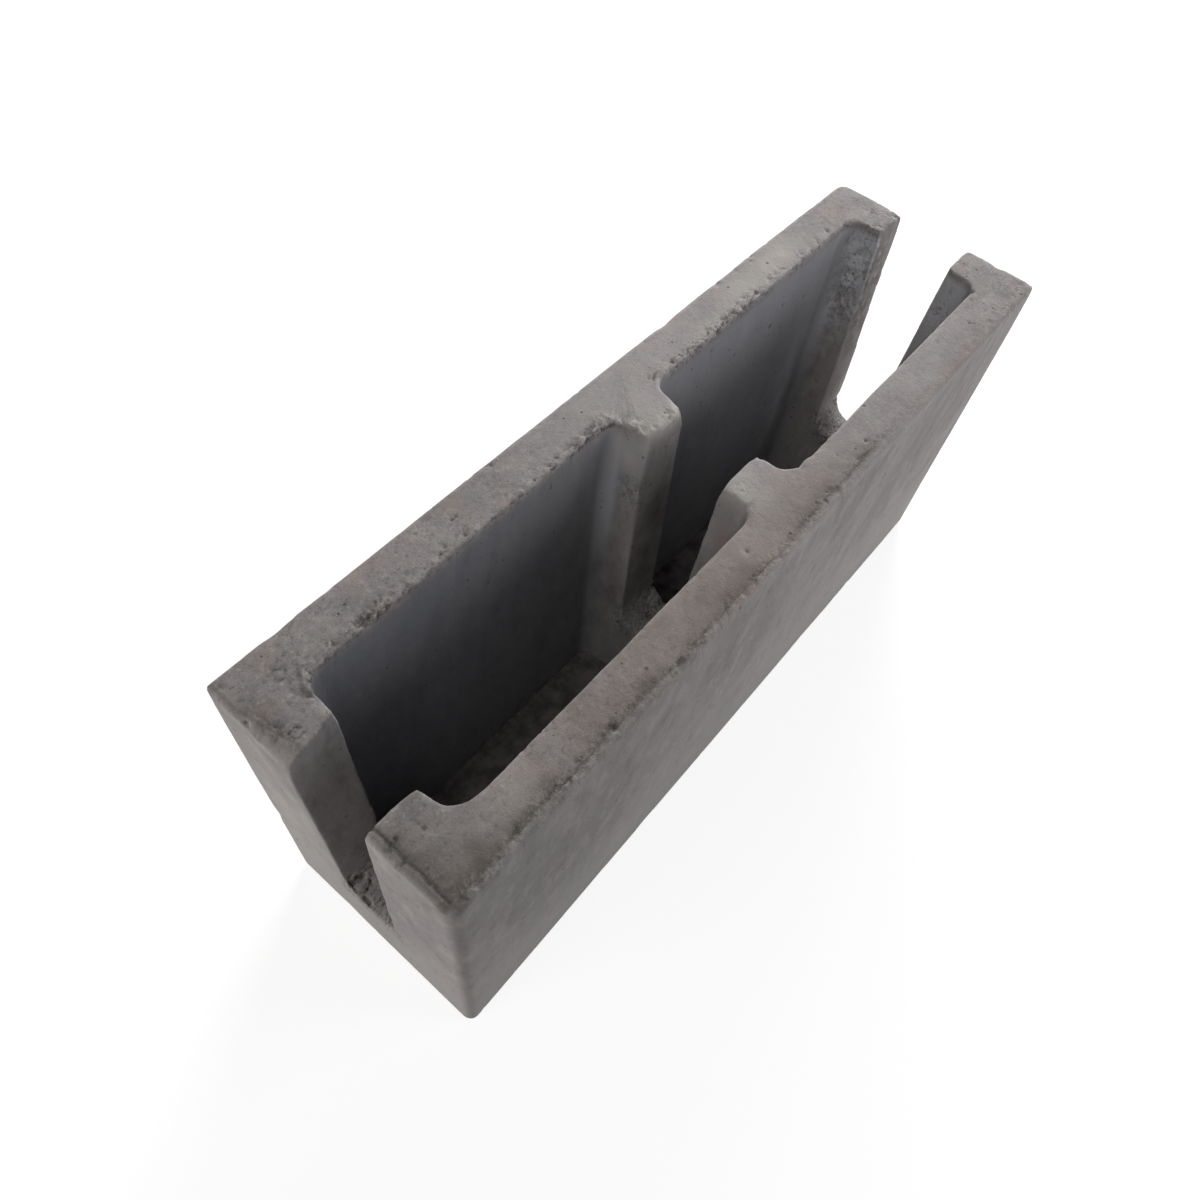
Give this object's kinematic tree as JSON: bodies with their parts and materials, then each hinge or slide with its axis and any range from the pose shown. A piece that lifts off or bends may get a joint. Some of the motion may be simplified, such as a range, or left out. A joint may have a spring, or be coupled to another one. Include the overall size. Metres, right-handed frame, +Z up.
{
  "type": "concrete shuttering block",
  "caption": "Hollow concrete formwork block: long face shells tied by notched cross webs, open top and bottom, to be stacked dry and filled with concrete.",
  "frame": {"origin": "middle of the bottom bed, on the surface that the block stands on", "axes": "+X along the block's length, +Y across its width, +Z up to the notched top bed"},
  "size_m": [0.5, 0.142, 0.235],
  "materials": {
    "concrete": "rough grey vibro-pressed concrete, fine grained, with pitted and worn edges"
  },
  "bodies": {
    "root": {"block": "concrete"}
  },
  "joints": []
}
